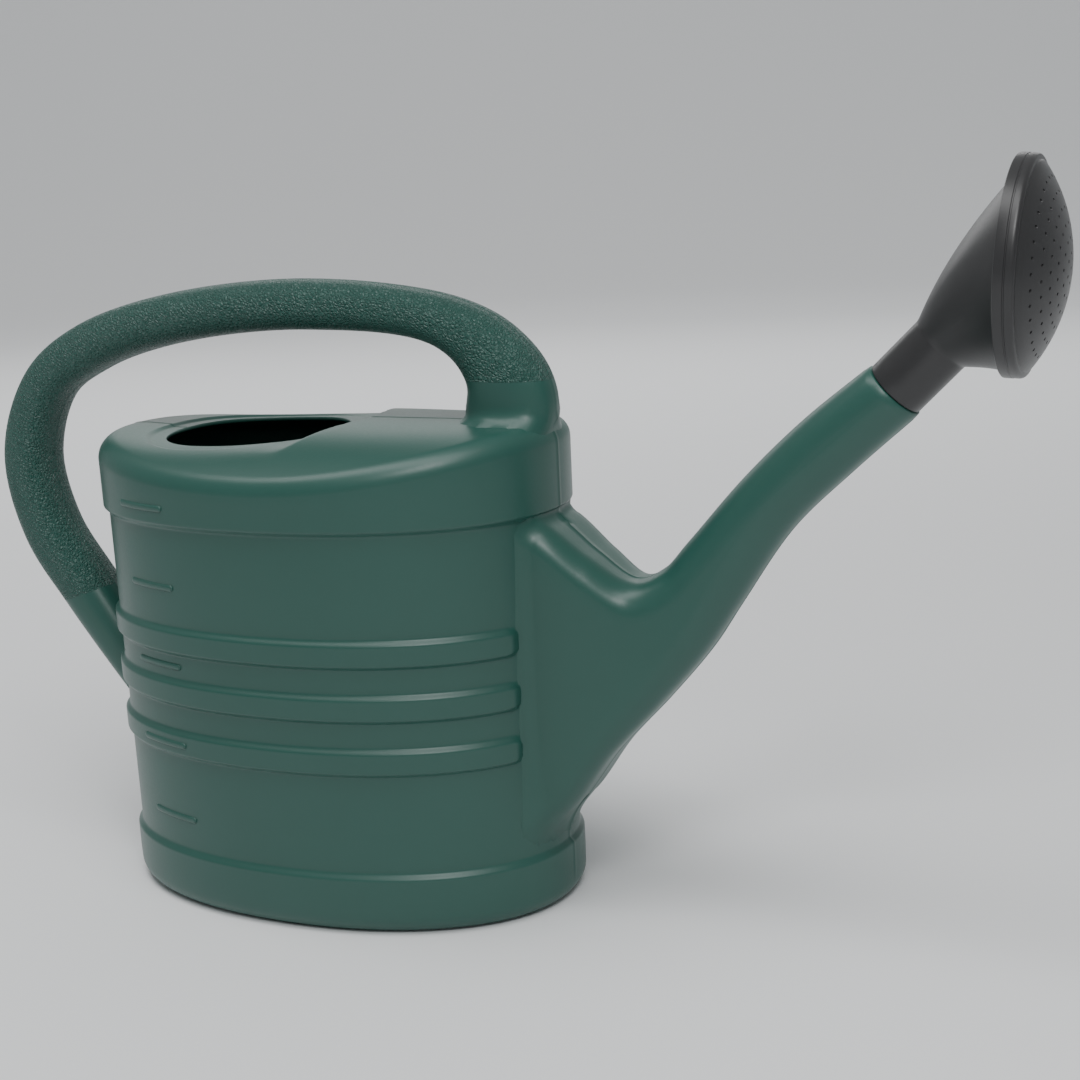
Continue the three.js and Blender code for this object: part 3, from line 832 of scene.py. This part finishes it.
def makeFace():
    inside = rose["lipRadius"] + rose["gap"]
    outside = inside + cap["skirtWall"]
    seat = rose["lipLength"] + rose["gap"]
    edge = seat + cap["wall"]
    corner = edge - cap["edge"]
    rim = outside - 0.1 * mm
    domeEdge = outside - cap["edge"]
    sphere = (domeEdge ** 2 + cap["dome"] ** 2) / (2 * cap["dome"])
    centre = edge + cap["dome"] - sphere

    def dome(radius, thinner):
        return radius, centre + math.sqrt((sphere - thinner) ** 2 - radius ** 2)

    innerEdge = rose["lipRadius"] - rose["wall"]
    profile = [dome(innerEdge * index / 12, cap["wall"]) for index in range(12)]
    profile += [(innerEdge, seat), (inside, seat), (inside, -cap["skirt"] + 0.4 * mm)]
    profile += [(inside + 0.4 * mm, -cap["skirt"]), (outside - 0.5 * mm, -cap["skirt"])]
    profile += [(outside - 0.12 * mm, -cap["skirt"] + 0.3 * mm), (outside, -cap["skirt"] + 0.8 * mm)]
    # A fine groove runs round the skirt
    profile += [(outside, -0.9 * mm), (outside - 0.35 * mm, -0.6 * mm), (outside - 0.35 * mm, -0.1 * mm)]
    profile += [(rim, 0.2 * mm), (rim, corner)]
    for index in range(1, 7):
        turn = index / 6 * math.radians(100)
        profile.append((rim - 2 * mm * (1 - math.cos(turn)), corner + 2.4 * mm * math.sin(turn)))
    profile.append(dome(domeEdge - 0.6 * mm, 0.35 * mm))
    profile += [dome((domeEdge - 1.2 * mm) * (1 - index / 16), 0) for index in range(17)]
    spun = bmesh.new()
    up = Vector((-roseAhead.z, 0, roseAhead.x))
    verts = [spun.verts.new(rimCentre + roseAhead * along + up * radius) for radius, along in profile]
    edges = [spun.edges.new(pair) for pair in zip(verts, verts[1:])]
    bmesh.ops.spin(spun, geom=verts + edges, cent=rimCentre, axis=roseAhead, angle=2 * math.pi,
                   steps=rose["columns"], use_merge=True, use_duplicate=False)
    piece = finishMesh("roseFace", spun, roseBlack, sharpAngle=cap["sharpAngle"])
    drills = bmesh.new()
    turn = roseAhead.to_track_quat("Z", "Y").to_matrix()
    for ring in range(cap["rings"] + 1):
        count = max(ring * 6, 1)
        for index in range(count):
            angle = 2 * math.pi * index / count
            base = rimCentre + up * ring * cap["pitch"] * math.cos(angle) + roseAhead * seat
            base.y -= ring * cap["pitch"] * math.sin(angle)
            drill = bmesh.ops.create_cone(
                drills, cap_ends=True, segments=cap["holeSides"], radius1=cap["holeRadius"],
                radius2=cap["holeRadius"], depth=2 * cap["dome"])["verts"]
            bmesh.ops.rotate(drills, verts=drill, cent=(0, 0, 0), matrix=turn)
            bmesh.ops.translate(drills, verts=drill, vec=base + roseAhead * cap["dome"])
    cutWith(piece, finishMesh("drills", drills, roseBlack))
    piece.data.set_sharp_from_angle(angle=math.radians(cap["sharpAngle"]))
    return piece


facePiece = makeFace()
print("face made", len(facePiece.data.polygons))


# What each piece rides on and stands for

for piece, node in ((tankPiece, "tank"), (handlePiece, "handle"), (spoutPiece, "spout")):
    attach(piece, "can")
    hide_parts(node)
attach(marksPiece, "can")
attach(funnelPiece, "rose")
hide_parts("rose_funnel")
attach(facePiece, "rose_cap")
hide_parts("rose_face")


# Floor, light and camera

studio = {"floorRadius": 4, "wallRadius": 3, "world": (0.86, 0.88, 0.89), "worldStrength": 0.4}


def makeFloor():
    material = bpy.data.materials.new("paleFloor")
    material.use_nodes = True
    shader = material.node_tree.nodes["Principled BSDF"]
    shader.inputs["Base Color"].default_value = (0.84, 0.85, 0.86, 1)
    shader.inputs["Roughness"].default_value = 0.8
    floor = bmesh.new()
    profile = [(0, 0), (1, 0), (studio["floorRadius"], 0)]
    for index in range(1, 13):
        turn = index / 12 * math.pi / 2.4
        profile.append((studio["floorRadius"] + studio["wallRadius"] * math.sin(turn),
                        studio["wallRadius"] * (1 - math.cos(turn))))
    verts = [floor.verts.new((radius, 0, height)) for radius, height in profile]
    edges = [floor.edges.new(pair) for pair in zip(verts, verts[1:])]
    bmesh.ops.spin(floor, geom=verts + edges, cent=(0, 0, 0), axis=(0, 0, 1), angle=2 * math.pi,
                   steps=64, use_merge=True, use_duplicate=False)
    piece = finishMesh("floor", floor, material)


def addSoftbox(name, place, target, size, energy):
    light = bpy.data.lights.new(name, "AREA")
    light.shape = "RECTANGLE"
    light.size, light.size_y = size
    light.energy = energy
    lamp = bpy.data.objects.new(name, light)
    bpy.context.collection.objects.link(lamp)
    lamp.location = place
    lamp.visible_camera = False
    lamp.rotation_mode = "QUATERNION"
    lamp.rotation_quaternion = (Vector(target) - Vector(place)).to_track_quat("-Z", "Y")


makeFloor()
aim = (0.05, 0, 0.2)
addSoftbox("keyBox", (0.9, -1.5, 1.9), aim, (0.9, 0.6), 21)
addSoftbox("topBox", (-0.1, -0.5, 2.3), aim, (2.8, 0.9), 36)
addSoftbox("backBox", (-0.9, 2.6, 1.25), aim, (3.4, 0.5), 10)
addSoftbox("wallBox", (-0.5, 1.4, 2.6), (-2.4, 4.6, 0.9), (3.2, 1.0), 60)

world = bpy.data.worlds.new("studio")
world.use_nodes = True
background = world.node_tree.nodes["Background"]
background.inputs["Color"].default_value = (*studio["world"], 1)
background.inputs["Strength"].default_value = studio["worldStrength"]
bpy.context.scene.world = world

camera = {"place": Vector((0.5401, -0.9103, 0.4213)), "target": Vector((0.1264, 0, 0.2055)),
          "roll": math.radians(-2.64), "lens": 62.56}
lens = bpy.data.cameras.new("camera")
lens.lens = camera["lens"]
lens.sensor_width = 36
lens.clip_start, lens.clip_end = 0.02, 60
viewer = bpy.data.objects.new("camera", lens)
bpy.context.collection.objects.link(viewer)
viewer.location = camera["place"]
viewer.rotation_mode = "QUATERNION"
looking = (camera["target"] - camera["place"]).to_track_quat("-Z", "Y")
viewer.rotation_quaternion = looking @ Quaternion((0, 0, 1), camera["roll"])
bpy.context.scene.camera = viewer
print("studio set")
